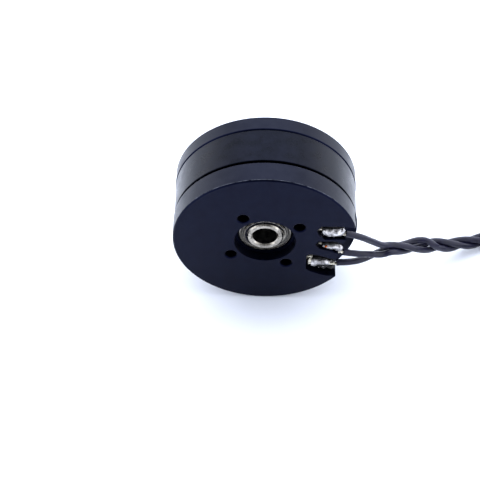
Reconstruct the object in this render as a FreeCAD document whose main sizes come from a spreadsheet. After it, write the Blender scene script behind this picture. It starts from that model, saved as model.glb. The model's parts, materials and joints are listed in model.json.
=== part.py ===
"""Hollow-shaft outrunner brushless motor, 40 mm across.

Frame: the origin is the centre of the base plate's mounting face, on the shaft axis.
+Y runs along the shaft from the base plate to the rotor cap, +Z is up, and the motor
stands on its round rim, so the surface below it is at Z = -rim_radius.
"""
import FreeCAD, Part
import math
import os
import Sketcher

SIZES = {
    # base plate and bearing tube
    "rim_radius": 20.0,
    "base_thickness": 5.2,
    "base_edge": 0.3,
    "recess_radius": 6.65,
    "recess_depth": 2.2,
    "tube_radius": 7.4,
    "tube_end": 14.4,
    "tube_bore": 5.3,
    "screw_hole_radius": 1.25,
    "screw_hole_depth": 4.0,
    "screw_across": 7.38,
    "screw_up": 4.70,
    "screw_count": 4,
    # lead pocket
    "face_wall": 1.8,
    "pocket_depth": 4.4,
    "pad_chord": 16.5,
    "pad_chord_angle": -15.6,
    "board_thickness": 0.8,
    "wire_hole_radius": 0.6,
    "phase_wire_radius": 0.35,
    # bearings, 8 x 12 x 3.5
    "bearing_outer": 6.0,
    "bearing_seat": 6.01,
    "bearing_width": 3.5,
    "rear_bearing_start": 10.9,
    "outer_race_inner": 5.4,
    "inner_race_outer": 4.55,
    "inner_race_bore": 4.0,
    "race_chamfer": 0.2,
    "ball_circle": 5.0,
    "ball_radius": 0.6,
    "race_groove": 0.65,
    "ball_count": 11,
    "cage_outer": 5.2,
    "cage_inner": 4.8,
    "cage_half_width": 0.8,
    "cage_pocket": 0.62,
    "shield_bore": 4.65,
    "shield_thickness": 0.2,
    "shield_recess": 0.2,
    # shaft and what sits on it
    "shaft_radius": 3.99,
    "shaft_bore": 2.7,
    "shaft_front": 1.2,
    "shaft_chamfer": 0.3,
    "clip_start": 1.8,
    "clip_thickness": 0.4,
    "clip_inner": 3.75,
    "clip_outer": 4.45,
    "clip_opening": 60.0,
    "spacer_outer": 4.5,
    "washer_thickness": 0.3,
    "washer_inner": 4.1,
    "washer_outer": 5.0,
    # flux ring, cap and magnets
    "ring_front": 5.75,
    "ring_rear": 14.4,
    "ring_radius": 19.85,
    "ring_inner": 18.55,
    "ring_edge": 0.12,
    "cap_radius": 19.95,
    "cap_rear": 18.24,
    "cap_edge": 0.3,
    "cap_seam": 0.3,
    "cap_plate": 2.0,
    "cap_rim_inner": 17.2,
    "spigot_radius": 18.53,
    "spigot_start": 13.6,
    "hub_radius": 6.8,
    "hub_start": 14.8,
    "cap_hole_radius": 1.0,
    "cap_hole_circle": 8.5,
    "magnet_count": 14,
    "magnet_inner": 17.2,
    "magnet_outer": 18.54,
    "magnet_angle": 22.5,
    "magnet_start": 6.6,
    "magnet_end": 13.4,
    # stator
    "tooth_count": 12,
    "core_bore": 7.41,
    "core_yoke": 9.6,
    "core_radius": 16.9,
    "core_start": 7.2,
    "core_end": 13.0,
    "tooth_width": 2.6,
    "shoe_thickness": 1.1,
    "shoe_angle": 25.0,
    "insulator_thickness": 0.4,
    "coil_start": 10.6,
    "coil_end": 15.4,
    "coil_inner_gap": 0.2,
    "coil_thickness": 0.8,
    "coil_overhang": 0.8,
    # leads
    "lead_radius": 0.75,
    "bundle_radius": 1.62,
    "hank_half_run": 14.0,
    "hank_outer": 11.2,
    "hank_inner": 7.8,
    "hank_height": 6.5,
    "hank_edge": 1.4,
    "hank_x": 81.0,
    "hank_y": 9.2,
    "tie_width": 5.0,
    "tie_thickness": 0.4,
    "plug_rear_x": 75.0,
    "plug_length": 12.0,
    "plug_width": 7.8,
    "plug_height": 2.6,
    "plug_contact": 0.64,
    "plug_contact_depth": 9.0,
    "plug_contact_pitch": 2.54,
}

# Routes of the leads, in millimetres, as the corner points of their runs.
LEAD_ROUTES = {
    "lead_upper": [(17.35, 1.1, 2.1), (20.3, 1.4, 0.9), (23.2, 3.1, -3.0), (26.0, 4.4, -6.3),
                   (29.07, 5.67, -8.05)],
    "lead_middle": [(17.1, 1.1, -4.6), (20.2, 1.5, -5.7), (23.1, 2.7, -7.2), (26.0, 3.9, -8.9),
                    (28.63, 5.16, -9.63)],
    "lead_lower": [(15.9, 1.1, -8.3), (19.2, 1.6, -8.8), (22.4, 3.3, -9.5), (25.2, 5.3, -9.7),
                   (27.9, 6.75, -8.98)],
}
BUNDLE_ROUTE = [(28.85, 5.9, -8.97), (34.6, 8.9, -11.9), (41.0, 12.0, -15.4), (47.6, 15.2, -17.9),
                (54.3, 17.7, -18.3), (60.9, 18.9, -18.1)]
TAIL_ROUTE = [(90.0, 1.6, -15.5), (84.9, 5.6, -16.9), (80.0, 8.6, -17.85), (75.0, 9.2, -18.3)]

doc = FreeCAD.newDocument("brushless_motor")
sheet = doc.addObject("Spreadsheet::Sheet", "Sizes")
for row, (alias, number) in enumerate(SIZES.items(), start=1):
    sheet.set("A%d" % row, alias)
    sheet.set("B%d" % row, str(number))
    sheet.setAlias("B%d" % row, alias)
doc.recompute()

Y_AXIS = FreeCAD.Vector(0, 1, 0)
nodes = []


def value(formula):
    """The number that a sum of sheet aliases and plain numbers stands for."""
    total = 0.0
    sign = 1.0
    for word in str(formula).split():
        if word in ("+", "-"):
            sign = 1.0 if word == "+" else -1.0
        else:
            total += sign * (SIZES[word] if word in SIZES else float(word))
            sign = 1.0
    return total


def bound(formula):
    """The same sum as an expression on the sheet."""
    words = str(formula).split()
    return " ".join("Sizes." + word if word in SIZES else word for word in words)


def bind(item, field, formula):
    """Set a number of an object and tie it to the sheet."""
    item.setExpression(field, bound(formula))


def keep(item, label):
    """Record a finished object as one node."""
    item.Label = label
    nodes.append(item)
    return item


def new_body(label):
    body = doc.addObject("PartDesign::Body", label)
    body.Label = label
    return body


def origin_feature(body, role):
    return next(feature for feature in body.Origin.OriginFeatures if feature.Role == role)


def sketch_on(body, name, role, offset=None):
    """A sketch on one of the body's own planes, moved along its normal by offset."""
    sketch = body.newObject("Sketcher::SketchObject", name)
    sketch.AttachmentSupport = [(origin_feature(body, role), "")]
    sketch.MapMode = "FlatFace"
    if offset is not None:
        bind(sketch, "AttachmentOffset.Base.z", offset)
    return sketch


def fix_point(sketch, geometry, point, across, along):
    """Hold a sketch point at two sheet-driven distances from the sketch's origin."""
    for kind, formula in (("DistanceX", across), ("DistanceY", along)):
        index = sketch.addConstraint(
            Sketcher.Constraint(kind, -1, 1, geometry, point, value(formula)))
        bind(sketch, "Constraints[%d]" % index, formula)


def draw_outline(sketch, corners):
    """A closed outline of straight lines through corners given as formulas."""
    first = sketch.GeometryCount
    places = [FreeCAD.Vector(value(across), value(along), 0) for across, along in corners]
    for index, start in enumerate(places):
        end = places[(index + 1) % len(places)]
        sketch.addGeometry(Part.LineSegment(start, end), False)
    for index, (across, along) in enumerate(corners):
        following = first + (index + 1) % len(corners)
        sketch.addConstraint(
            Sketcher.Constraint("Coincident", first + index, 2, following, 1))
        fix_point(sketch, first + index, 1, across, along)


def draw_circle(sketch, across, along, radius):
    centre = FreeCAD.Vector(value(across), value(along), 0)
    index = sketch.addGeometry(Part.Circle(centre, FreeCAD.Vector(0, 0, 1), value(radius)), False)
    fix_point(sketch, index, 3, across, along)
    limit = sketch.addConstraint(Sketcher.Constraint("Radius", index, value(radius)))
    bind(sketch, "Constraints[%d]" % limit, radius)


def rectangle(inner, outer, start, end):
    """Corners of a ring's section: radii, then positions along the shaft."""
    return [(inner, start), (outer, start), (outer, end), (inner, end)]


def add_turned(body, name, corners, angle=None):
    """Revolve a (radius, along) outline about the shaft axis; angle spans the drawing plane."""
    sketch = sketch_on(body, name + "_profile", "XY_Plane")
    draw_outline(sketch, corners)
    turned = body.newObject("PartDesign::Revolution", name)
    turned.Profile = sketch
    turned.ReferenceAxis = (sketch, ["V_Axis"])
    turned.Angle = 360
    if angle is not None:
        turned.Midplane = True
        bind(turned, "Angle", angle)
    doc.recompute()
    return turned


def turned_body(label, corners, angle=None):
    body = new_body(label)
    add_turned(body, label + "_turn", corners, angle)
    return body


def ring_body(label, inner, outer, start, end):
    return turned_body(label, rectangle(inner, outer, start, end))


def cut_pocket(body, name, draw, depth, start="0", role="XZ_Plane", into_back=True):
    """Cut what draw() sketches into the body and check that material went."""
    before = body.Shape.Volume
    sketch = sketch_on(body, name + "_outline", role, start)
    draw(sketch)
    pocket = body.newObject("PartDesign::Pocket", name)
    pocket.Profile = sketch
    bind(pocket, "Length", depth)
    pocket.Reversed = not into_back
    doc.recompute()
    if body.Shape.Volume > before - 1e-3:
        raise RuntimeError(name + " cuts nothing")
    return pocket


def repeat(body, name, features, count):
    pattern = body.newObject("PartDesign::PolarPattern", name)
    pattern.Originals = features
    pattern.Axis = (origin_feature(body, "Y_Axis"), [""])
    pattern.Angle = 360
    bind(pattern, "Occurrences", count)
    body.Tip = pattern
    doc.recompute()
    return pattern


def about_shaft(degrees):
    """A turn about the shaft axis; positive takes +X towards -Z."""
    return FreeCAD.Placement(FreeCAD.Vector(), FreeCAD.Rotation(Y_AXIS, degrees))


# ---------------------------------------------------------------- base plate
def make_base_plate():
    """Disc with its bearing tube, four blind screw holes and the lead pocket."""
    front_seat_end = "recess_depth + bearing_width"
    profile = [
        ("recess_radius", "0"), ("rim_radius - base_edge", "0"), ("rim_radius", "base_edge"),
        ("rim_radius", "base_thickness - base_edge"),
        ("rim_radius - base_edge", "base_thickness"),
        ("tube_radius", "base_thickness"), ("tube_radius", "tube_end"),
        ("bearing_seat", "tube_end"), ("bearing_seat", "rear_bearing_start"),
        ("tube_bore", "rear_bearing_start"), ("tube_bore", front_seat_end),
        ("bearing_seat", front_seat_end), ("bearing_seat", "recess_depth"),
        ("recess_radius", "recess_depth")]
    body = turned_body("base_plate", profile)

    hole = cut_pocket(
        body, "screw_hole", lambda sketch: draw_circle(
            sketch, "screw_across", "screw_up", "screw_hole_radius"), "screw_hole_depth")
    repeat(body, "screw_holes", [hole], "screw_count")

    # Windows over the three solder joints, cut through the face wall only.
    windows = {
        "upper_window": [("11.1", "3.9"), ("12.1", "5.3"), ("17.4", "5.3"), ("20.4", "4.6"),
                         ("20.4", "1.0"), ("17.3", "1.0"), ("12.9", "0.9"), ("11.6", "2.3")],
        "middle_window": [("10.9", "-0.9"), ("11.5", "0.2"), ("15.0", "0.3"), ("19.6", "-1.2"),
                          ("20.4", "-5.4"), ("16.6", "-4.2"), ("11.7", "-2.1")],
    }
    for name, corners in windows.items():
        cut_pocket(body, name, lambda sketch: draw_outline(sketch, corners), "face_wall")

    # Deep pocket below the lower joint, open through the rim.
    lower = [("9.1", "-4.8"), ("9.6", "-4.3"), ("11.2", "-4.4"), ("15.7", "-6.2"),
             ("20.4", "-7.4"), ("20.4", "-12.35"), ("15.78", "-12.35"), ("15.74", "-11.7"),
             ("13.7", "-11.7"), ("11.9", "-11.1"), ("10.2", "-10.3"), ("9.1", "-9.4")]
    cut_pocket(body, "lower_window", lambda sketch: draw_outline(sketch, lower), "pocket_depth")

    # Room for the terminal board behind the face wall, open at the rim.
    behind = [("9.1", "-10.0"), ("9.1", "5.3"), ("20.4", "5.3"), ("20.4", "-10.0")]
    cut_pocket(body, "board_room", lambda sketch: draw_outline(sketch, behind),
               "pocket_depth - face_wall", start="0 - face_wall")

    # The ribs between the windows end on a chord of the rim.
    angle = math.radians(SIZES["pad_chord_angle"])
    along = (-math.sin(angle), math.cos(angle))
    outward = (math.cos(angle), math.sin(angle))
    chord = []
    for distance, side in ((SIZES["pad_chord"], 9.8), (SIZES["pad_chord"] + 6.0, 9.8),
                           (SIZES["pad_chord"] + 6.0, -4.6), (SIZES["pad_chord"], -4.6)):
        chord.append((str(outward[0] * distance + along[0] * side),
                      str(outward[1] * distance + along[1] * side)))
    cut_pocket(body, "rib_chord", lambda sketch: draw_outline(sketch, chord), "face_wall")

    # Holes for the three phase wires, from the board room to the windings.
    for name, (across, up) in PHASE_WIRE_PLACES.items():
        cut_pocket(body, name + "_hole", lambda sketch: draw_circle(
            sketch, str(across), str(up), "wire_hole_radius"),
            "base_thickness - pocket_depth + 1", start="0 - pocket_depth + 0.5")
    keep(body, "base_plate")


# Where the wires from the coils reach the board, as (across, up).
PHASE_WIRE_PLACES = {"phase_upper": (11.9, 1.9), "phase_middle": (11.5, -2.6),
                     "phase_lower": (10.2, -7.6)}


def make_board_and_joints():
    """Terminal board in the pocket, its solder joints and the wires from the coils."""
    board = new_body("terminal_board")
    sketch = sketch_on(board, "board_outline", "XZ_Plane", "0 - face_wall")
    draw_outline(sketch, [("9.3", "-9.4"), ("9.3", "5.1"), ("17.4", "5.1"), ("14.6", "-9.4")])
    plate = board.newObject("PartDesign::Pad", "board_plate")
    plate.Profile = sketch
    bind(plate, "Length", "board_thickness")
    plate.Reversed = True
    doc.recompute()
    keep(board, "terminal_board")

    for label, centre, length, width, tilt in (
            ("solder_joint_upper", (14.6, 2.5), 5.4, 3.0, 0.0),
            ("solder_joint_middle", (14.2, -2.0), 5.6, 1.8, 25.0),
            ("solder_joint_lower", (12.5, -7.5), 6.2, 3.0, 12.0)):
        blob = doc.addObject("Part::Ellipsoid", label + "_blob")
        blob.Radius1 = 1.25
        blob.Radius2 = length / 2
        blob.Radius3 = width / 2
        blob.Placement = FreeCAD.Placement(
            FreeCAD.Vector(centre[0], SIZES["face_wall"], centre[1]),
            FreeCAD.Rotation(Y_AXIS, tilt) * FreeCAD.Rotation(FreeCAD.Vector(1, 0, 0), 90))
        front = doc.addObject("Part::Box", label + "_front")
        front.Length = 14
        front.Width = 3
        front.Height = 14
        front.Placement.Base = FreeCAD.Vector(
            centre[0] - 7, SIZES["face_wall"] - 3, centre[1] - 7)
        joint = doc.addObject("Part::Common", label)
        joint.Base = blob
        joint.Tool = front
        keep(joint, label)

    wires = []
    for name, (across, up) in PHASE_WIRE_PLACES.items():
        wire = doc.addObject("Part::Cylinder", name)
        bind(wire, "Radius", "phase_wire_radius")
        bind(wire, "Height", "core_start - insulator_thickness - coil_overhang - 0.1"
             " - face_wall - board_thickness")
        wire.Placement = FreeCAD.Placement(
            FreeCAD.Vector(across, value("face_wall + board_thickness"), up),
            FreeCAD.Rotation(FreeCAD.Vector(1, 0, 0), -90))
        wires.append(wire)
    bundle = doc.addObject("Part::Compound", "phase_wires")
    bundle.Links = wires
    keep(bundle, "phase_wires")


# ---------------------------------------------------------------- bearings
def make_bearing(prefix, start):
    """Deep-groove bearing: grooved rings, two shields, balls and their cage."""
    end = start + " + bearing_width"
    middle = value(start) + SIZES["bearing_width"] / 2

    def race_groove(name):
        groove = doc.addObject("Part::Torus", name)
        bind(groove, "Radius1", "ball_circle")
        bind(groove, "Radius2", "race_groove")
        groove.Placement = FreeCAD.Placement(
            FreeCAD.Vector(0, middle, 0), FreeCAD.Rotation(FreeCAD.Vector(1, 0, 0), 90))
        return groove

    outer_profile = [
        ("outer_race_inner", start), ("bearing_outer - race_chamfer", start),
        ("bearing_outer", start + " + race_chamfer"),
        ("bearing_outer", end + " - race_chamfer"),
        ("bearing_outer - race_chamfer", end), ("outer_race_inner", end)]
    inner_profile = [
        ("inner_race_bore + race_chamfer", start), ("inner_race_outer", start),
        ("inner_race_outer", end), ("inner_race_bore + race_chamfer", end),
        ("inner_race_bore", end + " - race_chamfer"),
        ("inner_race_bore", start + " + race_chamfer")]
    for side, profile in (("outer_ring", outer_profile), ("inner_ring", inner_profile)):
        ring = doc.addObject("Part::Cut", prefix + "_" + side)
        ring.Base = turned_body(prefix + "_" + side + "_blank", profile)
        ring.Tool = race_groove(prefix + "_" + side + "_groove")
        keep(ring, prefix + "_" + side)

    front_shield = ring_body(prefix + "_front_shield", "shield_bore", "outer_race_inner",
                             start + " + shield_recess",
                             start + " + shield_recess + shield_thickness")
    rear_shield = ring_body(prefix + "_rear_shield", "shield_bore", "outer_race_inner",
                            end + " - shield_recess - shield_thickness",
                            end + " - shield_recess")
    shields = doc.addObject("Part::Compound", prefix + "_shields")
    shields.Links = [front_shield, rear_shield]
    keep(shields, prefix + "_shields")

    balls = []
    for index in range(SIZES["ball_count"]):
        turn = 2 * math.pi * index / SIZES["ball_count"]
        ball = doc.addObject("Part::Sphere", "%s_ball_%02d" % (prefix, index + 1))
        bind(ball, "Radius", "ball_radius")
        ball.Placement.Base = FreeCAD.Vector(
            SIZES["ball_circle"] * math.cos(turn), middle,
            SIZES["ball_circle"] * math.sin(turn))
        balls.append(ball)
    group = doc.addObject("Part::Compound", prefix + "_balls")
    group.Links = balls
    keep(group, prefix + "_balls")

    cage = ring_body(prefix + "_cage", "cage_inner", "cage_outer",
                     "%s - cage_half_width" % middle, "%s + cage_half_width" % middle)
    seat = cut_pocket(cage, prefix + "_ball_seat", lambda sketch: draw_circle(
        sketch, str(middle), "0", "cage_pocket"), "cage_outer + 1", role="YZ_Plane",
        into_back=False)
    repeat(cage, prefix + "_ball_seats", [seat], "ball_count")
    keep(cage, prefix + "_cage")


# ---------------------------------------------------------------- shaft
def make_shaft_parts():
    """Hollow shaft with its retaining ring, spacer and preload washer."""
    groove_end = "clip_start + clip_thickness"
    profile = [
        ("shaft_bore", "shaft_front + shaft_chamfer"),
        ("shaft_bore + shaft_chamfer", "shaft_front"),
        ("shaft_radius - shaft_chamfer", "shaft_front"),
        ("shaft_radius", "shaft_front + shaft_chamfer"),
        ("shaft_radius", "clip_start"), ("clip_inner", "clip_start"),
        ("clip_inner", groove_end), ("shaft_radius", groove_end),
        ("shaft_radius", "cap_rear"), ("shaft_bore + shaft_chamfer", "cap_rear"),
        ("shaft_bore", "cap_rear - shaft_chamfer")]
    keep(turned_body("hollow_shaft", profile), "hollow_shaft")

    clip = new_body("retaining_ring")
    add_turned(clip, "clip_turn",
               rectangle("clip_inner", "clip_outer", "clip_start", groove_end),
               "360 - clip_opening")
    clip.Placement = about_shaft(185)
    keep(clip, "retaining_ring")

    keep(ring_body("inner_ring_spacer", "inner_race_bore", "spacer_outer",
                   "recess_depth + bearing_width", "rear_bearing_start"), "inner_ring_spacer")
    keep(ring_body("preload_washer", "washer_inner", "washer_outer", "tube_end + 0.05",
                   "tube_end + 0.05 + washer_thickness"), "preload_washer")


# ---------------------------------------------------------------- rotor
def make_rotor():
    """Flux ring, cap and magnets."""
    profile = [
        ("ring_inner", "ring_front"), ("ring_radius - ring_edge", "ring_front"),
        ("ring_radius", "ring_front + ring_edge"), ("ring_radius", "ring_rear - ring_edge"),
        ("ring_radius - ring_edge", "ring_rear"), ("ring_inner", "ring_rear")]
    keep(turned_body("flux_ring", profile), "flux_ring")

    under = "cap_rear - cap_plate"
    profile = [
        ("inner_race_bore", "hub_start"), ("hub_radius", "hub_start"), ("hub_radius", under),
        ("cap_rim_inner", under), ("cap_rim_inner", "spigot_start"),
        ("spigot_radius", "spigot_start"), ("spigot_radius", "ring_rear"),
        ("cap_radius - cap_seam", "ring_rear"), ("cap_radius", "ring_rear + cap_seam"),
        ("cap_radius", "cap_rear - cap_edge"), ("cap_radius - cap_edge", "cap_rear"),
        ("inner_race_bore", "cap_rear")]
    cap = turned_body("rotor_cap", profile)
    hole = cut_pocket(
        cap, "payload_hole", lambda sketch: draw_circle(
            sketch, "cap_hole_circle", "0", "cap_hole_radius"),
        "cap_plate", start="0 - cap_rear + cap_plate")
    repeat(cap, "payload_holes", [hole], "screw_count")
    keep(cap, "rotor_cap")

    for index in range(SIZES["magnet_count"]):
        label = "magnet_%02d" % (index + 1)
        magnet = turned_body(label, rectangle("magnet_inner", "magnet_outer", "magnet_start",
                                              "magnet_end"), "magnet_angle")
        magnet.Placement = about_shaft(index * 360.0 / SIZES["magnet_count"])
        keep(magnet, label)


# ---------------------------------------------------------------- stator
def make_spider(label, inner, start, end, width, tip, with_shoes):
    """Yoke ring with radial teeth, and the tooth shoes where the piece has them."""
    body = new_body(label)
    add_turned(body, label + "_yoke", rectangle(inner, "core_yoke", start, end))
    sketch = sketch_on(body, label + "_tooth_outline", "XY_Plane")
    draw_outline(sketch, rectangle("core_yoke - 0.3", tip, start, end))
    tooth = body.newObject("PartDesign::Pad", label + "_tooth")
    tooth.Profile = sketch
    tooth.Midplane = True
    bind(tooth, "Length", width)
    doc.recompute()
    features = [tooth]
    if with_shoes:
        shoe = add_turned(body, label + "_shoe",
                          rectangle("core_radius - shoe_thickness", "core_radius", start, end),
                          "shoe_angle")
        features.append(shoe)
    repeat(body, label + "_teeth", features, "tooth_count")
    keep(body, label)


def make_stator():
    make_spider("stator_core", "core_bore", "core_start", "core_end", "tooth_width",
                "core_radius - 0.4", True)
    make_spider("front_slot_insulator", "core_bore", "core_start - insulator_thickness",
                "core_start", "tooth_width", "coil_end + 0.3", False)
    make_spider("rear_slot_insulator", "core_bore", "core_end",
                "core_end + insulator_thickness", "tooth_width", "coil_end + 0.3", False)

    for index in range(SIZES["tooth_count"]):
        label = "coil_%02d" % (index + 1)
        window = doc.addObject("Part::Box", label + "_window")
        bind(window, "Length", "coil_end - coil_start + 2")
        bind(window, "Width", "core_end - core_start + insulator_thickness"
             " + insulator_thickness + coil_inner_gap")
        bind(window, "Height", "tooth_width + coil_inner_gap + coil_inner_gap")
        window.Placement.Base = FreeCAD.Vector(
            SIZES["coil_start"] - 1, value("core_start - insulator_thickness - 0.1"),
            -SIZES["tooth_width"] / 2 - SIZES["coil_inner_gap"])
        winding = doc.addObject("Part::Box", label + "_winding")
        bind(winding, "Length", "coil_end - coil_start")
        bind(winding, "Width", "core_end - core_start + insulator_thickness"
             " + insulator_thickness + coil_inner_gap + coil_overhang + coil_overhang")
        bind(winding, "Height", "tooth_width + coil_inner_gap + coil_inner_gap"
             " + coil_thickness + coil_thickness")
        winding.Placement.Base = FreeCAD.Vector(
            SIZES["coil_start"], value("core_start - insulator_thickness - coil_overhang - 0.1"),
            -SIZES["tooth_width"] / 2 - SIZES["coil_inner_gap"] - SIZES["coil_thickness"])
        coil = doc.addObject("Part::Cut", label)
        coil.Base = winding
        coil.Tool = window
        coil.Placement = about_shaft(index * 360.0 / SIZES["tooth_count"])
        keep(coil, label)


# ---------------------------------------------------------------- leads
def bent_tube(name, corners, radius):
    """A round tube along straight runs joined by the largest tangent arcs they allow."""
    points = [FreeCAD.Vector(*corner) for corner in corners]
    edges = []
    bends = []
    last = points[0]
    for before, corner, after in zip(points, points[1:], points[2:]):
        back = (before - corner).normalize()
        ahead = (after - corner).normalize()
        turn = math.pi - back.getAngle(ahead)
        shorter = min((before - corner).Length, (after - corner).Length)
        bend = 0.45 * shorter / math.tan(turn / 2)
        bends.append(round(bend, 1))
        start = corner + back * (0.45 * shorter)
        end = corner + ahead * (0.45 * shorter)
        middle_way = (back + ahead).normalize()
        middle = corner + middle_way * (bend / math.cos(turn / 2) - bend)
        edges.append(Part.LineSegment(last, start).toShape())
        edges.append(Part.Arc(start, middle, end).toShape())
        last = end
    edges.append(Part.LineSegment(last, points[-1]).toShape())
    path = Part.Wire(edges)
    direction = (points[1] - points[0]).normalize()
    section = Part.Wire(Part.Circle(points[0], direction, radius).toShape())
    solid = path.makePipeShell([section], True, True)
    expected = math.pi * radius * radius * path.Length
    print(name, "length %.1f" % path.Length, "bend radii", bends,
          "volume ratio %.4f" % (solid.Volume / expected))
    feature = doc.addObject("Part::Feature", name)
    feature.Shape = solid
    return keep(feature, name)


def long_loop(radius, height):
    """A level loop of two straight runs and two half-round ends, about the hank's centre."""
    half_run = SIZES["hank_half_run"]

    def point(along, across):
        return FreeCAD.Vector(SIZES["hank_x"] + along, SIZES["hank_y"] + across, height)

    edges = []
    for side in (1, -1):
        edges.append(Part.LineSegment(point(-side * half_run, side * radius),
                                      point(side * half_run, side * radius)).toShape())
        edges.append(Part.Arc(point(side * half_run, side * radius),
                              point(side * (half_run + radius), 0),
                              point(side * half_run, -side * radius)).toShape())
    return Part.Wire(edges)


def make_leads():
    for name, route in LEAD_ROUTES.items():
        bent_tube(name, route, SIZES["lead_radius"])
    bent_tube("lead_bundle", BUNDLE_ROUTE, SIZES["bundle_radius"])

    # The hank: two long turns, one on the other, held by a strap round the middle.
    bottom = -SIZES["rim_radius"] + SIZES["tie_thickness"]
    upwards = FreeCAD.Vector(0, 0, SIZES["hank_height"])
    whole = Part.Face(long_loop(SIZES["hank_outer"], bottom)).extrude(upwards)
    eye = Part.Face(long_loop(SIZES["hank_inner"], bottom)).extrude(upwards)
    block = whole.cut(eye).Solids[0]
    rims = [edge for edge in block.Edges if edge.BoundBox.ZLength < 0.001]
    hank = doc.addObject("Part::Feature", "lead_hank")
    hank.Shape = block.makeFillet(SIZES["hank_edge"], rims)
    keep(hank, "lead_hank")
    bent_tube("lead_tail", TAIL_ROUTE, SIZES["bundle_radius"])

    inside = doc.addObject("Part::Box", "strap_inside")
    inside.Width = 2 * SIZES["hank_outer"] + 0.04
    bind(inside, "Length", "tie_width")
    bind(inside, "Height", "hank_height")
    inside.Placement.Base = FreeCAD.Vector(
        SIZES["hank_x"] - SIZES["tie_width"] / 2, SIZES["hank_y"] - inside.Width.Value / 2, bottom)
    outside = doc.addObject("Part::Box", "strap_outside")
    outside.Width = inside.Width.Value + 2 * SIZES["tie_thickness"]
    bind(outside, "Length", "tie_width")
    bind(outside, "Height", "hank_height + tie_thickness + tie_thickness")
    outside.Placement.Base = inside.Placement.Base - FreeCAD.Vector(
        0, SIZES["tie_thickness"], SIZES["tie_thickness"])
    strap = doc.addObject("Part::Cut", "hank_tie")
    strap.Base = outside
    strap.Tool = inside
    keep(strap, "hank_tie")


def make_plug():
    """Three-way socket housing on the leads' far end, lying inside the hank."""
    housing = new_body("plug_housing")
    sketch = sketch_on(housing, "housing_outline", "XY_Plane")
    draw_outline(sketch, rectangle("0", "plug_width", "0", "plug_length"))
    pad = housing.newObject("PartDesign::Pad", "housing_block")
    pad.Profile = sketch
    bind(pad, "Length", "plug_height")
    doc.recompute()

    def contact_holes(sketch):
        for index in range(3):
            centre = SIZES["plug_width"] / 2 + (index - 1) * SIZES["plug_contact_pitch"]
            draw_outline(sketch, [
                (str(centre - 0.45), "0.85"), (str(centre + 0.45), "0.85"),
                (str(centre + 0.45), "1.75"), (str(centre - 0.45), "1.75")])

    cut_pocket(housing, "contact_holes", contact_holes, "plug_contact_depth")
    keep(housing, "plug_housing")
    contacts = []
    for index in range(3):
        contact = doc.addObject("Part::Box", "plug_contact_%d" % (index + 1))
        contact.Length = SIZES["plug_contact"]
        bind(contact, "Width", "plug_contact_depth - 1.5")
        contact.Height = SIZES["plug_contact"]
        centre = SIZES["plug_width"] / 2 + (index - 1) * SIZES["plug_contact_pitch"]
        contact.Placement.Base = FreeCAD.Vector(
            centre - SIZES["plug_contact"] / 2, 1.5, 1.3 - SIZES["plug_contact"] / 2)
        contacts.append(contact)
    group = doc.addObject("Part::Compound", "plug_contacts")
    group.Links = contacts
    keep(group, "plug_contacts")
    place = FreeCAD.Placement(
        FreeCAD.Vector(SIZES["plug_rear_x"] - SIZES["plug_length"],
                       SIZES["hank_y"] + SIZES["plug_width"] / 2, -SIZES["rim_radius"]),
        FreeCAD.Rotation(FreeCAD.Vector(0, 0, 1), -90))
    housing.Placement = place
    group.Placement = place


def write_parts():
    """Check every object, then write one STEP file for each node."""
    doc.recompute()
    for item in doc.Objects:
        if "Invalid" in item.State or "Error" in item.State:
            raise RuntimeError("%s: %s" % (item.Name, item.State))
    for node in nodes:
        if node.Shape.isNull() or not node.Shape.isValid():
            raise RuntimeError(node.Label + " has no valid shape")
    os.makedirs("parts", exist_ok=True)
    for node in nodes:
        node.Shape.exportStep("parts/%s.step" % node.Label)
        print(node.Label, "solids %d" % len(node.Shape.Solids), "mm3 %.2f" % node.Shape.Volume)


make_base_plate()
make_board_and_joints()
make_bearing("front_bearing", "recess_depth")
make_bearing("rear_bearing", "rear_bearing_start")
make_shaft_parts()
make_rotor()
make_stator()
make_leads()
make_plug()
write_parts()
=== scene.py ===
import json
import math

import bmesh
import bpy
from mathutils import Matrix, Vector, noise


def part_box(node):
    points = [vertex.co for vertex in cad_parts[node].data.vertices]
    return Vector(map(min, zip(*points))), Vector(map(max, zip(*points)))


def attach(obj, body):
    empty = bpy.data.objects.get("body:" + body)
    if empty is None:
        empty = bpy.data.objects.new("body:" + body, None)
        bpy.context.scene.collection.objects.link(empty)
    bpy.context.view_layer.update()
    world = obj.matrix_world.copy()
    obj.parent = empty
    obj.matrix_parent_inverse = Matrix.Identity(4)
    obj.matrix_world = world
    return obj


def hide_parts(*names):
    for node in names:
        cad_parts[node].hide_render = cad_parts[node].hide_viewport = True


# The looks of a flat hollow-shaft brushless motor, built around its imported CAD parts.
# Lengths are metres unless a name or comment says millimetres. The shaft lies along Y,
# +Z is up, and the motor stands on its rim.
bl_info = {
    "name": "Hollow-shaft motor looks",
    "version": (1, 0, 0),
    "blender": (4, 5, 0),
    "location": "3D View > Sidebar > Motor",
    "description": "Finishes the parts of a flat brushless motor and lays out its leads",
    "category": "Object",
}

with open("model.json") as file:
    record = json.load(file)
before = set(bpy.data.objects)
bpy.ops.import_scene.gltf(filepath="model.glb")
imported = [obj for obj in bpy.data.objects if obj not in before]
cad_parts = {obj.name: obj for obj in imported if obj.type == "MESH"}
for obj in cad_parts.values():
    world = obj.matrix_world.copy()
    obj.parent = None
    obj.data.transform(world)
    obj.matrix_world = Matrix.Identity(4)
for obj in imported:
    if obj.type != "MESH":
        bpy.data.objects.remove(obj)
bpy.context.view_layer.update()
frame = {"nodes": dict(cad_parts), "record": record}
MM = 0.001
TABLE_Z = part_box("base_plate")[0][2]
# Faces farther than this from the shaft axis belong to the motor's rim.
RIM_FROM = 0.0196
# Spacing of the plug's contacts.
PLUG_PITCH = 0.00254
# The middle of the tent's opening, as a direction from the motor.
TENT_OPENING = (0.0, -0.7, 0.714)
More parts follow.
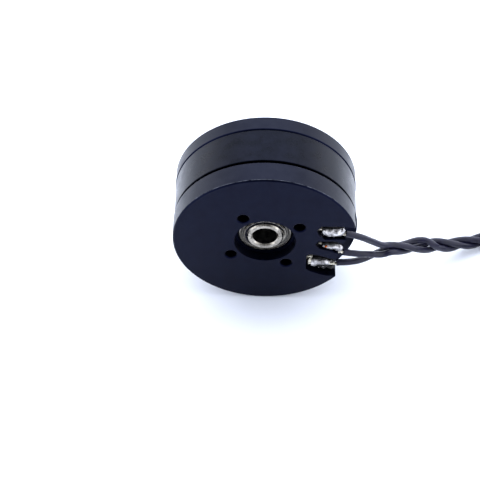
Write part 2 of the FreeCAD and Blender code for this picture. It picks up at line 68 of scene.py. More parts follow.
# The colour sockets of a Mix node, whose names its other sockets share.
MIX_A, MIX_B = 6, 7
METAL = {"Metallic": 1.0}


# ------------------------------------------------------------------ settings
class MotorSizes(bpy.types.PropertyGroup):
    """Sizes of the visible work that the CAD parts don't carry."""
    edge_break: bpy.props.FloatProperty(
        name="Edge break", description="Width of the broken edges of the machined parts",
        default=0.00008, unit="LENGTH")
    seam_edge: bpy.props.FloatProperty(
        name="Seam edge", description="Bevel of the flux ring's edges, which opens its seams",
        default=0.00026, unit="LENGTH")
    strand_radius: bpy.props.FloatProperty(
        name="Lead radius", description="Outer radius of one silicone lead",
        default=0.00075, unit="LENGTH")
    twist_pitch: bpy.props.FloatProperty(
        name="Twist pitch", description="Length of one turn of the twisted leads",
        default=0.0200, unit="LENGTH")
    first_pitch: bpy.props.FloatProperty(
        name="First pitch", description="Looser turn where the leads come together",
        default=0.026, unit="LENGTH")
    first_looseness: bpy.props.FloatProperty(
        name="First looseness", description="How far the first crest stands off its neighbours",
        default=1.1, subtype="FACTOR")
    countersink: bpy.props.FloatProperty(
        name="Countersink", description="Width of the bevels at the mounting holes",
        default=0.00032, unit="LENGTH")
    lamination: bpy.props.FloatProperty(
        name="Lamination", description="Thickness of one sheet of the stator stack",
        default=0.00035, unit="LENGTH")
    magnet_wire: bpy.props.FloatProperty(
        name="Magnet wire", description="Diameter of the enamelled wire of the coils",
        default=0.00025, unit="LENGTH")


class MotorStage(bpy.types.PropertyGroup):
    """Camera and light."""
    azimuth: bpy.props.FloatProperty(
        name="Azimuth", description="Camera's turn about the vertical",
        default=math.radians(1.21), unit="ROTATION")
    elevation: bpy.props.FloatProperty(
        name="Elevation", description="Camera's height above the horizon",
        default=math.radians(51.11), unit="ROTATION")
    distance: bpy.props.FloatProperty(
        name="Distance", description="From the camera to what it looks at",
        default=0.35, unit="LENGTH")
    aim: bpy.props.FloatVectorProperty(
        name="Aim", description="The point that the camera looks at",
        default=(-0.00539, 0.0, 0.00034), unit="LENGTH")
    lens_mm: bpy.props.FloatProperty(
        name="Lens", description="Focal length on a 36 mm sensor", default=121.56)
    sky: bpy.props.FloatProperty(
        name="Sky", description="Strength of the white tent's light", default=3.5)
    front_shade: bpy.props.FloatProperty(
        name="Front shade", description="Share of that light left at the tent's opening",
        default=0.08, subtype="FACTOR")
    softbox: bpy.props.FloatProperty(
        name="Softbox", description="Power of the softbox above and behind, in watts",
        default=1.0)


# ------------------------------------------------------------------ materials
def linear(hex_colour):
    """The linear RGBA of an sRGB hex value."""
    channels = [int(hex_colour[i:i + 2], 16) / 255 for i in (1, 3, 5)]
    return [c / 12.92 if c <= 0.04045 else ((c + 0.055) / 1.055) ** 2.4
            for c in channels] + [1.0]


def add_node(tree, kind, settings=None, links=None):
    """Add a node, set its fields and sockets, link its inputs, and return its first output.

    A number in settings or links is the place of a socket, and a name is a field or socket.
    """
    node = tree.nodes.new(kind)
    for name, value in (settings or {}).items():
        if isinstance(name, int) or name in node.inputs.keys():
            node.inputs[name].default_value = value
        else:
            setattr(node, name, value)
    for name, source in (links or {}).items():
        tree.links.new(source, node.inputs[name])
    return next(output for output in node.outputs if output.enabled)


def finish_surface(name, colours, patch_mm, roughness, bump=None, shader_values=None):
    """A material whose colour and gloss drift together in patches a few tenths to a few
    millimetres across.

    bump is a list of (height maker, share) pairs and the whole relief's depth in millimetres.
    """
    material = bpy.data.materials.new(name)
    material.use_nodes = True
    tree = material.node_tree
    shader = tree.nodes["Principled BSDF"]
    for socket, value in (shader_values or {}).items():
        shader.inputs[socket].default_value = value
    place = tree.nodes.new("ShaderNodeTexCoord").outputs["Object"]
    patches = add_node(tree, "ShaderNodeTexNoise", {"Scale": 1 / (patch_mm * MM), "Detail": 4.0},
                       {"Vector": place})
    share = add_node(tree, "ShaderNodeMapRange", {"From Min": 0.35, "From Max": 0.65},
                     {"Value": patches})
    colour = add_node(tree, "ShaderNodeMix",
                      {"data_type": "RGBA", MIX_A: linear(colours[0]),
                       MIX_B: linear(colours[1])}, {"Factor": share})
    tree.links.new(colour, shader.inputs["Base Color"])
    gloss = add_node(tree, "ShaderNodeMapRange",
                     {"To Min": roughness[0], "To Max": roughness[1]}, {"Value": share})
    tree.links.new(gloss, shader.inputs["Roughness"])
    if bump:
        layers, depth_mm = bump
        height = None
        for make_height, weight in layers:
            layer = make_height(tree, place)
            links = {0: layer} if height is None else {0: layer, 2: height}
            height = add_node(tree, "ShaderNodeMath",
                              {"operation": "MULTIPLY_ADD", 1: weight, 2: 0.0}, links)
        relief = add_node(tree, "ShaderNodeBump", {"Distance": depth_mm * MM},
                          {"Height": height})
        tree.links.new(relief, shader.inputs["Normal"])
    return material


def specks(size_mm, detail=2.0):
    """Height of a fine random grain."""
    return lambda tree, place: add_node(
        tree, "ShaderNodeTexNoise", {"Scale": 1 / (size_mm * MM), "Detail": detail},
        {"Vector": place})


def rings(spacing_mm):
    """Height of turning marks on a face across the shaft, one crest every spacing_mm."""
    return lambda tree, place: wave(tree, spacing_mm, add_node(
        tree, "ShaderNodeVectorMath", {"operation": "LENGTH"},
        {0: add_node(tree, "ShaderNodeVectorMath", {"operation": "MULTIPLY", 1: (1, 0, 1)},
                     {0: place})}))


def bands(spacing_mm):
    """Height of marks round the shaft, one crest every spacing_mm along it."""
    return lambda tree, place: wave(tree, spacing_mm, add_node(
        tree, "ShaderNodeVectorMath", {"operation": "DOT_PRODUCT", 1: (0, 1, 0)}, {0: place}))


def wave(tree, spacing_mm, distance):
    """A smooth wave along a distance in metres."""
    turns = add_node(tree, "ShaderNodeMath",
                     {"operation": "MULTIPLY", 1: 2 * math.pi / (spacing_mm * MM)},
                     {0: distance})
    return add_node(tree, "ShaderNodeMath", {"operation": "SINE"}, {0: turns})


def blasted_anodised_aluminium():
    """Faced, glass-bead blasted and dyed black: an even, dull blue-black with a fine tooth."""
    return finish_surface("blasted_anodised_aluminium", ("#090c1d", "#0d1122"), 3.0,
                          (0.40, 0.48), ([(specks(0.10), 1.0), (rings(0.5), 0.08)], 0.004),
                          METAL)


def turned_anodised_painted_lighter():
    """Turned rim under the same dye, its colour painted a little brighter than the face's as
    painted light, with very fine lines round it.
    """
    return finish_surface("turned_anodised_painted_lighter", ("#12141d", "#161821"), 2.5,
                          (0.30, 0.38), ([(specks(0.14), 0.6), (bands(0.2), 0.4)], 0.003),
                          METAL)


def edge_highlight_aluminium():
    """The front rim's chamfer, paler in random patches: a painted highlight for the bright line
    along the edge.
    """
    return finish_surface("edge_highlight_aluminium", ("#0c0e15", "#4a4d55"), 0.9, (0.25, 0.4),
                          ([(specks(0.3), 1.0)], 0.006), METAL)


def black_oxide_steel():
    """Turned low-carbon steel under hot black oxide: smoother and more neutral than the
    anodised parts, with cloudy patches and faint lines round it."""
    return finish_surface("black_oxide_steel", ("#0b0d13", "#0e1018"), 2.0, (0.26, 0.34),
                          ([(specks(0.2, 4.0), 0.7), (bands(0.24), 0.3)], 0.002), METAL)


def ground_bearing_steel():
    """Hardened chromium steel, ground round the shaft: bright warm grey with rings."""
    return finish_surface("ground_bearing_steel", ("#6a665e", "#9a958b"), 0.6, (0.30, 0.42),
                          ([(rings(0.42), 0.8), (specks(0.5), 0.2)], 0.0012), METAL)


def turned_shaft_steel():
    """Stainless shaft faced in the lathe: bright, with a few coarse rings on its end."""
    return finish_surface("turned_shaft_steel", ("#858077", "#b5afa3"), 0.7, (0.20, 0.30),
                          ([(rings(0.45), 0.8), (specks(0.5), 0.2)], 0.002), METAL)


def shaded_bore_steel():
    """Inside of the shaft, reamed and painted dark as painted shade in the bore, with marks
    along it.
    """
    return finish_surface("shaded_bore_steel", ("#1b1a19", "#3a3835"), 0.9, (0.35, 0.55),
                          ([(specks(0.15, 3.0), 1.0)], 0.006), METAL)


def pressed_shield_steel():
    """Thin stainless strip, pressed: satin, greyer than the ground rings."""
    return finish_surface("pressed_shield_steel", ("#4c4a47", "#76736c"), 0.5, (0.40, 0.52),
                          ([(rings(0.4), 0.7), (specks(0.5), 0.3)], 0.0015), METAL)


def phosphated_spring_steel():
    """Spring steel with a grey-black phosphate: nearly matt."""
    return finish_surface("phosphated_spring_steel", ("#15151a", "#22232a"), 0.3,
                          (0.45, 0.6), ([(specks(0.08), 1.0)], 0.003), METAL)


def nickel_plate():
    """Nickel over sintered magnet: smooth, faintly yellow."""
    return finish_surface("nickel_plate", ("#a8a296", "#bdb7aa"), 1.5, (0.22, 0.34),
                          ([(specks(0.3), 1.0)], 0.004), METAL)


def enamelled_copper(sizes):
    """Magnet wire in neat layers: ridges one wire apart under a clear brown enamel."""
    spacing = sizes.magnet_wire / MM
    return finish_surface("enamelled_copper", ("#7a3410", "#c76a2e"), 0.8, (0.24, 0.38),
                          ([(rings(spacing), 1.0), (specks(0.4), 0.3)], 0.05),
                          {"Metallic": 1.0, "Coat Weight": 0.6, "Coat Roughness": 0.12})


def laminated_steel(sizes):
    """Silicon-steel sheets in a stack, varnished: fine steps between the sheets."""
    spacing = sizes.lamination / MM
    return finish_surface("laminated_silicon_steel", ("#3a3a3e", "#77777b"), 0.6,
                          (0.38, 0.55), ([(bands(spacing), 1.0), (specks(0.3), 0.3)], 0.03),
                          METAL)


def moulded_nylon():
    """Glass-filled nylon from a lightly textured mould: dull black, faint orange peel."""
    return finish_surface("moulded_nylon", ("#111114", "#1d1d21"), 0.7, (0.42, 0.58),
                          ([(specks(0.12), 1.0)], 0.008), {"IOR": 1.53})


def natural_nylon():
    """Undyed moulded nylon of the ball cages: waxy, pale brown."""
    return finish_surface("natural_nylon", ("#8f8262", "#b5a887"), 0.7, (0.4, 0.55),
                          ([(specks(0.15), 1.0)], 0.005),
                          {"IOR": 1.53, "Subsurface Weight": 0.15})


def silicone_rubber():
    """Extruded black silicone: a soft, dark bluish gloss that varies a little."""
    return finish_surface("silicone_rubber", ("#0a0a1c", "#100f26"), 1.4, (0.28, 0.38),
                          ([(specks(0.3, 3.0), 1.0)], 0.004),
                          {"IOR": 1.3, "Sheen Weight": 0.01, "Sheen Roughness": 0.4,
                           "Sheen Tint": linear("#c8cfff")})


def bright_solder():
    """Lead-free solder as it froze: smooth and silvery, with frosted grey patches."""
    return finish_surface("bright_solder", ("#cfcdcc", "#6a6868"), 1.0, (0.32, 0.50),
                          ([(specks(0.8), 1.0)], 0.03), METAL)


def tinned_copper():
    """Hand-tinned copper: lumpy grey with bright grains and a trace of yellow flux."""
    return finish_surface("tinned_copper", ("#8a867a", "#e2ddcb"), 0.3, (0.30, 0.45),
                          ([(specks(0.2, 4.0), 1.0)], 0.06), METAL)


def bare_copper():
    """Cut end of a copper strand: orange-brown, slightly burnt."""
    return finish_surface("bare_copper", ("#7a2c0a", "#c8692c"), 0.2, (0.3, 0.5),
                          ([(specks(0.15), 1.0)], 0.02), METAL)


def solder_mask():
    """Glass-epoxy board under black mask: smooth, the weave a faint relief."""
    return finish_surface("black_solder_mask", ("#050608", "#0c0d11"), 0.8, (0.35, 0.5),
                          ([(specks(0.3), 1.0)], 0.01), {"IOR": 1.5})


def pocket_shade_residue():
    """Near-black lumps in the pocket as painted shade: rough and sooty-looking, with glassy
    beads.
    """
    return finish_surface("pocket_shade_residue", ("#040405", "#141312"), 0.25, (0.3, 0.8),
                          ([(specks(0.3, 5.0), 1.0)], 0.15), {"IOR": 1.52})


def gold_flash():
    """Thin gold over nickel on the plug's contacts."""
    return finish_surface("gold_flash", ("#c79a3f", "#e6c067"), 0.4, (0.2, 0.3),
                          ([(specks(0.3), 1.0)], 0.003), METAL)


def loop_strap():
    """Woven hook-and-loop strap: a fuzzy black pile."""
    return finish_surface("hook_and_loop_strap", ("#0e0e11", "#26262b"), 0.3, (0.8, 0.95),
                          ([(specks(0.2, 5.0), 1.0)], 0.1),
                          {"IOR": 1.5, "Sheen Weight": 0.12, "Sheen Roughness": 0.6})


def white_laminate():
    """Matt white table top, a shade cool."""
    return finish_surface("white_laminate", ("#e3e7ee", "#e6eaf1"), 40, (0.8, 0.9), None,
                          {"IOR": 1.45})


MADE = {}


def shared(make, *details):
    """The material that a maker gives, made once."""
    return MADE.get(make.__name__) or MADE.setdefault(make.__name__, make(*details))


def paint(thing, *materials):
    """Give a piece these materials and no others."""
    thing.data.materials.clear()
    for material in materials:
        thing.data.materials.append(material)


# ------------------------------------------------------------------ making pieces
def piece_from(shape, name, body, material, nodes=(), smooth_degrees=30):
    """Turn a bmesh into a piece that rides on a body and stands for CAD nodes."""
    for face in shape.faces:
        face.smooth = True
    for edge in shape.edges:
        edge.smooth = not (edge.is_manifold
                           and edge.calc_face_angle(0.0) > math.radians(smooth_degrees))
    mesh = bpy.data.meshes.new(name)
    shape.to_mesh(mesh)
    shape.free()
    piece = bpy.data.objects.new(name, mesh)
    bpy.context.scene.collection.objects.link(piece)
    paint(piece, material)
    flats = piece.modifiers.new("flats", "WEIGHTED_NORMAL")
    flats.keep_sharp = True
    if body:
        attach(piece, body)
    if nodes:
        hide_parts(*nodes)
    return piece


def merged_copy(node):
    """A CAD node's mesh as a clean bmesh: doubles merged and flats joined up."""
    shape = bmesh.new()
    shape.from_mesh(frame["nodes"][node].data)
    bmesh.ops.remove_doubles(shape, verts=shape.verts, dist=1e-6)
    bmesh.ops.dissolve_limit(shape, angle_limit=math.radians(0.5), verts=shape.verts,
                             edges=shape.edges)
    return shape


def break_edges(shape, width, degrees=35, segments=2):
    """Bevel every edge that turns more than the given angle."""
    sharp = [edge for edge in shape.edges
             if edge.is_manifold and edge.calc_face_angle(0.0) > math.radians(degrees)]
    bmesh.ops.bevel(shape, geom=sharp, offset=width, offset_type="OFFSET", affect="EDGES",
                    segments=segments, profile=0.5, material=-1, clamp_overlap=True)


def finished_node(node, body, material, edge=0.0):
    """The node's own shape with broken edges and smooth shading."""
    shape = merged_copy(node)
    if edge:
        break_edges(shape, edge)
    return piece_from(shape, node + "_finished", body, material, [node])


def retone(piece, second, chosen):
    """Give the second material to the faces that chosen(centre, normal) picks."""
    piece.data.materials.append(second)
    for face in piece.data.polygons:
        if chosen(face.center, face.normal):
            face.material_index = len(piece.data.materials) - 1
    return piece


def from_axis(point):
    """Distance from the shaft axis."""
    return math.hypot(point.x, point.z)


def spun(profile, steps=160):
    """Spin a closed outline of (radius, along) points, in metres, about the shaft."""
    shape = bmesh.new()
    corners = [shape.verts.new((radius, along, 0)) for radius, along in profile]
    edges = [shape.edges.new((corners[i], corners[(i + 1) % len(corners)]))
             for i in range(len(corners))]
    bmesh.ops.spin(shape, geom=corners + edges, cent=(0, 0, 0), axis=(0, 1, 0),
                   dvec=(0, 0, 0), angle=2 * math.pi, steps=steps, use_merge=True)
    bmesh.ops.remove_doubles(shape, verts=shape.verts, dist=1e-7)
    bmesh.ops.recalc_face_normals(shape, faces=shape.faces)
    return shape


def join_shape(whole, part):
    """Add one bmesh to another and free it."""
    mesh = bpy.data.meshes.new("part")
    part.to_mesh(mesh)
    part.free()
    whole.from_mesh(mesh)
    bpy.data.meshes.remove(mesh)


# ------------------------------------------------------------------ stage
class MOTOR_OT_stage(bpy.types.Operator):
    """Set up the camera, the light and the table"""
    bl_idname = "motor.stage"
    bl_label = "Stage"

    def execute(self, context):
        stage = context.scene.motor_stage
        back = Vector((math.sin(stage.azimuth) * math.cos(stage.elevation),
                       -math.cos(stage.azimuth) * math.cos(stage.elevation),
                       math.sin(stage.elevation)))
        camera = bpy.data.objects.new("camera", bpy.data.cameras.new("camera"))
        context.scene.collection.objects.link(camera)
        camera.data.sensor_width = 36.0
        camera.data.lens = stage.lens_mm
        camera.data.clip_start = 0.01
        camera.location = Vector(stage.aim) + back * stage.distance
        camera.rotation_euler = back.to_track_quat("Z", "Y").to_euler()
        context.scene.camera = camera

        context.scene.view_settings.view_transform = "Standard"
        world = bpy.data.worlds.new("white_tent")
        world.use_nodes = True
        tree = world.node_tree
        background = tree.nodes["Background"]
        background.inputs["Color"].default_value = linear("#f0f4ff")
        towards = add_node(tree, "ShaderNodeVectorMath",
                           {"operation": "DOT_PRODUCT", 1: TENT_OPENING},
                           {0: tree.nodes.new("ShaderNodeTexCoord").outputs["Generated"]})
        strength = add_node(tree, "ShaderNodeMapRange", {
            "interpolation_type": "SMOOTHSTEP", "From Min": 0.5, "From Max": 0.95,
            "To Min": stage.sky, "To Max": stage.sky * stage.front_shade}, {"Value": towards})
        tree.links.new(strength, background.inputs["Strength"])
        context.scene.world = world

        softbox = bpy.data.lights.new("softbox", "AREA")
        softbox.shape = "RECTANGLE"
        softbox.size = 0.5
        softbox.size_y = 0.4
        softbox.energy = stage.softbox
        softbox.color = linear("#f4f7ff")[:3]
        lamp = bpy.data.objects.new("softbox", softbox)
        lamp.location = (0.02, 0.28, 0.42)
        lamp.rotation_euler = lamp.location.to_track_quat("Z", "Y").to_euler()
        context.scene.collection.objects.link(lamp)

        shape = bmesh.new()
        bmesh.ops.create_circle(shape, cap_ends=True, segments=96, radius=3.0,
                                matrix=Matrix.Translation((0, 0, TABLE_Z)))
        table = piece_from(shape, "table", None, shared(white_laminate))
        return {"FINISHED"}


# ------------------------------------------------------------------ leads
# Corner points of the leads' routes in millimetres, as part.py has them.
BRANCH_ROUTES = {
    "lead_upper": [(17.35, 1.1, 1.8), (20.3, 1.4, 0.6), (23.2, 3.1, -3.1), (26.0, 4.4, -6.3)],
    "lead_middle": [(17.1, 1.1, -4.6), (20.2, 1.5, -5.7), (23.1, 2.7, -7.2),
                    (26.0, 3.9, -8.9)],
    "lead_lower": [(15.9, 1.1, -8.3), (19.2, 1.6, -8.8), (22.4, 3.3, -9.5),
                   (25.2, 5.3, -9.7)],
}
BUNDLE_ROUTE = [(28.85, 5.9, -8.97), (34.6, 8.9, -11.9), (41.0, 12.0, -15.4),
                (47.6, 15.2, -17.9), (54.3, 17.7, -18.3), (60.9, 18.9, -18.1)]
# The folded hank's two turns, clockwise from above, the second lying on the first.
HANK_ROUTE = [
    (67.0, 18.9, -17.98), (74.0, 18.6, -17.98), (81.0, 18.5, -17.98), (88.0, 18.6, -17.98),
    (94.5, 18.9, -17.98), (101.0, 17.3, -17.98), (104.9, 12.6, -17.98),
    (104.9, 5.8, -17.98), (101.0, 1.1, -17.98), (94.5, -0.5, -17.98), (88.0, -0.2, -17.98),
    (81.0, -0.1, -17.98), (74.0, -0.2, -17.98), (67.5, -0.5, -17.98), (61.0, 1.1, -17.8),
    (57.1, 5.8, -17.0), (57.1, 12.6, -15.8), (61.0, 17.3, -14.9), (67.5, 18.9, -14.74),
    (74.0, 18.6, -14.74), (81.0, 18.5, -14.74), (88.0, 18.6, -14.74), (94.5, 18.9, -14.74),
    (101.0, 17.3, -14.74), (104.9, 12.6, -14.74), (104.9, 5.8, -14.74),
    (101.0, 1.1, -14.74), (95.2, -0.6, -14.8)]
TAIL_ROUTE = [(90.0, 1.6, -15.5), (84.9, 5.6, -16.9), (80.0, 8.6, -17.85),
              (75.0, 9.2, -18.3)]
# Where each lead sits round the bundle's start, in degrees from its upper side.
FIRST_ANGLES = {"lead_upper": -7.0, "lead_middle": 113.0, "lead_lower": 233.0}


def smooth_route(points, name):
    """A NURBS curve object on the route, with no thickness."""
    curve = bpy.data.curves.new(name, "CURVE")
    curve.dimensions = "3D"
    curve.resolution_u = 16
    spline = curve.splines.new("NURBS")
    spline.points.add(len(points) - 1)
    for place, point in zip(spline.points, points):
        place.co = (*point, 1.0)
    spline.order_u = 3
    spline.use_endpoint_u = True
    return bpy.data.objects.new(name, curve)


def points_on(points, name):
    """Points along the route's NURBS curve."""
    guide = smooth_route(points, name + "_guide")
    mesh = bpy.data.meshes.new_from_object(guide)
    line = [vertex.co.copy() for vertex in mesh.vertices]
    bpy.data.objects.remove(guide)
    return line


def tube(line, radius, name):
    """A capped round tube along a line of points, as a bmesh."""
    curve = bpy.data.curves.new(name, "CURVE")
    curve.dimensions = "3D"
    curve.bevel_depth = radius
    curve.bevel_resolution = 4
    curve.use_fill_caps = True
    curve.twist_mode = "MINIMUM"
    spline = curve.splines.new("POLY")
    spline.points.add(len(line) - 1)
    for place, point in zip(spline.points, line):
        place.co = (*point, 1.0)
    holder = bpy.data.objects.new(name, curve)
    mesh = bpy.data.meshes.new_from_object(holder)
    bpy.data.objects.remove(holder)
    shape = bmesh.new()
    shape.from_mesh(mesh)
    return shape


def twisted(line, sizes, start_angle, at_plug):
    """One lead's own line: a helix about the bundle's line that opens out at the plug.

    at_plug is how far along Y its contact lies from the middle one.
    """
    lay_radius = sizes.strand_radius * 2 / math.sqrt(3)
    fan_length = 0.006
    easing_length = 0.006
    crest_at, crest_reach = 0.0085, 0.0040
    along = [(b - a).length for a, b in zip(line, line[1:])] + [0.0]
    total = sum(along)
    side = None
    travelled = 0.0
    angle = start_angle
    result = []
    for index, point in enumerate(line):
        ahead = line[min(index + 1, len(line) - 1)] - line[max(index - 1, 0)]
        ahead.normalize()
        upright = Vector((0, 0, 1)) if side is None else side
        side = (upright - ahead * upright.dot(ahead)).normalized()
        front = ahead.cross(side)
        slack = 1 + (sizes.first_looseness * max(0.0, math.cos(angle))
                     * math.exp(-((travelled - crest_at) / crest_reach) ** 2))
        spread = (side * math.cos(angle) + front * math.sin(angle)) * lay_radius * slack
        opening = max(0.0, 1.0 - (total - travelled) / fan_length)
        opening = opening * opening * (3 - 2 * opening)
        result.append(point + spread.lerp(Vector((0, at_plug, 0)), opening))
        easing = math.exp(-travelled / easing_length)
        pitch = sizes.twist_pitch + (sizes.first_pitch - sizes.twist_pitch) * easing
        angle += 2 * math.pi * along[index] / pitch
        travelled += along[index]
    return result


class MOTOR_OT_leads(bpy.types.Operator):
    """Lay the three leads, twist them, wind the hank and finish the plug and its strap"""
    bl_idname = "motor.leads"
    bl_label = "Leads"

    def execute(self, context):
        sizes = context.scene.motor_sizes
        rubber = shared(silicone_rubber)
        route = [Vector(point) * MM for point in BUNDLE_ROUTE + HANK_ROUTE + TAIL_ROUTE]
        line = points_on(route, "bundle")
        at_plug = {"lead_upper": PLUG_PITCH, "lead_middle": 0.0, "lead_lower": -PLUG_PITCH}
        run_in = 0.0016
        strands = bmesh.new()
        for name, degrees in FIRST_ANGLES.items():
            strand = twisted(line, sizes, math.radians(degrees), at_plug[name])
            entry = (strand[1] - strand[0]).normalized()
            corners = [Vector(p) * MM for p in BRANCH_ROUTES[name]]
            corners += [strand[0] - entry * run_in, strand[0]]
            branch = tube(points_on(corners, name), sizes.strand_radius, name)
            piece_from(branch, name + "_insulation", "stator",
                                       rubber, [name])
            join_shape(strands, tube(strand, sizes.strand_radius, name + "_twisted"))
        leads = piece_from(strands, "twisted_leads", "stator", rubber,
                           ["lead_bundle", "lead_hank", "lead_tail"])
        plug = self.finish_plug()
        strap = self.wrap_strap()
        return {"FINISHED"}

    def finish_plug(self):
        """Socket housing with broken edges and the three latch windows on its top."""
        plug = finished_node("plug_housing", "stator", shared(moulded_nylon),
                             edge=0.0002)
        paint(frame["nodes"]["plug_contacts"], shared(gold_flash))
        return plug

    def wrap_strap(self):
        """A strap drawn round both runs of the hank, its free end stuck down on top."""
        low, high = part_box("hank_tie")
        middle = (low[1] + high[1]) / 2
        half = (high[1] - low[1]) / 2
        strap_thickness = 0.0004
        # From the free end round to the top: the place across the hank as a share of half its
        # width, and millimetres below the CAD strap's top or above its bottom.
        corners = [(0.30, -1.0), (0.62, -0.6), (0.86, -0.3), (0.97, -1.2), (0.985, -3.4),
                   (0.97, 1.2), (0.86, 0.2), (0.0, 0.2), (-0.86, 0.2), (-0.97, 1.2),
                   (-0.985, -3.4), (-0.97, -1.2), (-0.86, -0.3), (-0.62, -0.7), (0.0, -1.8),
                   (0.30, -1.6), (0.66, -1.1)]
        line = points_on([Vector((low[0], middle + half * across,
                                  (low[2] if rise_mm > 0 else high[2]) + rise_mm * MM))
                          for across, rise_mm in corners], "strap")
        shape = bmesh.new()
        run = [shape.verts.new(point) for point in line]
        edges = [shape.edges.new(pair) for pair in zip(run, run[1:])]
        pulled = [item for item in bmesh.ops.extrude_edge_only(shape, edges=edges)["geom"]
                  if isinstance(item, bmesh.types.BMVert)]
        bmesh.ops.translate(shape, vec=(high[0] - low[0], 0, 0), verts=pulled)
        bmesh.ops.recalc_face_normals(shape, faces=shape.faces)
        bmesh.ops.solidify(shape, geom=shape.faces[:], thickness=strap_thickness)
        bmesh.ops.recalc_face_normals(shape, faces=shape.faces)
        break_edges(shape, width=0.0001)
        return piece_from(shape, "hank_strap", "stator", shared(loop_strap),
                          ["hank_tie"])


# ------------------------------------------------------------------ machined parts
def countersink(shape, mount, width):
    """Bevel the open ends of the holes in one of the record's bolt patterns."""
    pattern = next(row for row in frame["record"]["mounts"] if row["name"] == mount)
    plane = pattern["pos_m"][1]
    middle_mm = pattern["dims"]["pcd_mm"] / 2
    reach_mm = pattern["dims"]["hole_r_mm"] + 0.05
    sharp = 1.0  # radians
    rims = [edge for edge in shape.edges
            if all(abs(end.co.y - plane) < 1e-5
                   and abs(from_axis(end.co) / MM - middle_mm) < reach_mm
                   for end in edge.verts)
            and edge.calc_face_angle(0.0) > sharp]
    bmesh.ops.bevel(shape, geom=rims, offset=width, offset_type="OFFSET", affect="EDGES",
                    segments=2, profile=0.5, material=-1)


def turned_rim_painted_lighter(piece):
    """The rim is turned and painted a shade lighter than the faces as painted light, and the
    faces are blasted.
    """
    retone(piece, shared(turned_anodised_painted_lighter),
           lambda centre, normal: from_axis(centre) > RIM_FROM and abs(normal.y) < 0.1)


class MOTOR_OT_base_plate(bpy.types.Operator):
    """Finish the base plate: countersunk holes, broken edges, blasted face, a turned rim painted
    a shade lighter, and a painted highlight on its front edge
    """
    bl_idname = "motor.base_plate"
    bl_label = "Base plate"

    def execute(self, context):
        sizes = context.scene.motor_sizes
        shape = merged_copy("base_plate")
        countersink(shape, "base_screws", sizes.countersink)
        break_edges(shape, sizes.edge_break)
        plate = piece_from(shape, "base_plate_finished", "stator",
                           shared(blasted_anodised_aluminium), ["base_plate"])
        turned_rim_painted_lighter(plate)
        # The front chamfer gets paler patches as a painted highlight.
        retone(plate, shared(edge_highlight_aluminium),
               lambda centre, normal: from_axis(centre) > RIM_FROM and -0.6 < normal.y < -0.1)
        return {"FINISHED"}


class MOTOR_OT_rotor(bpy.types.Operator):
    """Finish the cap, the flux ring and the magnets"""
    bl_idname = "motor.rotor"
    bl_label = "Rotor"

    def execute(self, context):
        sizes = context.scene.motor_sizes
        shape = merged_copy("rotor_cap")
        countersink(shape, "payload_screws", sizes.countersink)
        break_edges(shape, sizes.edge_break)
        cap = piece_from(shape, "rotor_cap_finished", "rotor",
                         shared(blasted_anodised_aluminium), ["rotor_cap"])
        turned_rim_painted_lighter(cap)
        finished_node("flux_ring", "rotor", shared(black_oxide_steel),
                      sizes.seam_edge)
        plating = shared(nickel_plate)
        for name in sorted(n for n in frame["nodes"] if n.startswith("magnet_")):
            finished_node(name, "rotor", plating, edge=0.00015)
        return {"FINISHED"}


class MOTOR_OT_shaft(bpy.types.Operator):
    """Finish the hollow shaft, its retaining ring, the spacer and the preload washer"""
    bl_idname = "motor.shaft"
    bl_label = "Shaft"

    def execute(self, context):
        turned = shared(turned_shaft_steel)
        bore_reach, clip_rim = 0.00275, 0.0044
        shaft = finished_node("hollow_shaft", "rotor", turned)
        # The bore's walls get the dark steel as painted shade.
        retone(shaft, shared(shaded_bore_steel),
               lambda centre, normal: from_axis(centre) < bore_reach and abs(normal.y) < 0.5)
        # The clip is dark phosphated steel, and its darkness also stands in as painted shade for
        # the gap round the shaft's end; its rim gets the shaft's bright steel.
        clip = finished_node("retaining_ring", "rotor",
                             shared(phosphated_spring_steel), edge=0.00005)
        retone(clip, turned, lambda centre, normal: from_axis(centre) > clip_rim)
        finished_node("inner_ring_spacer", "rotor", turned)
        finished_node("preload_washer", "rotor",
                      shared(phosphated_spring_steel))
        return {"FINISHED"}


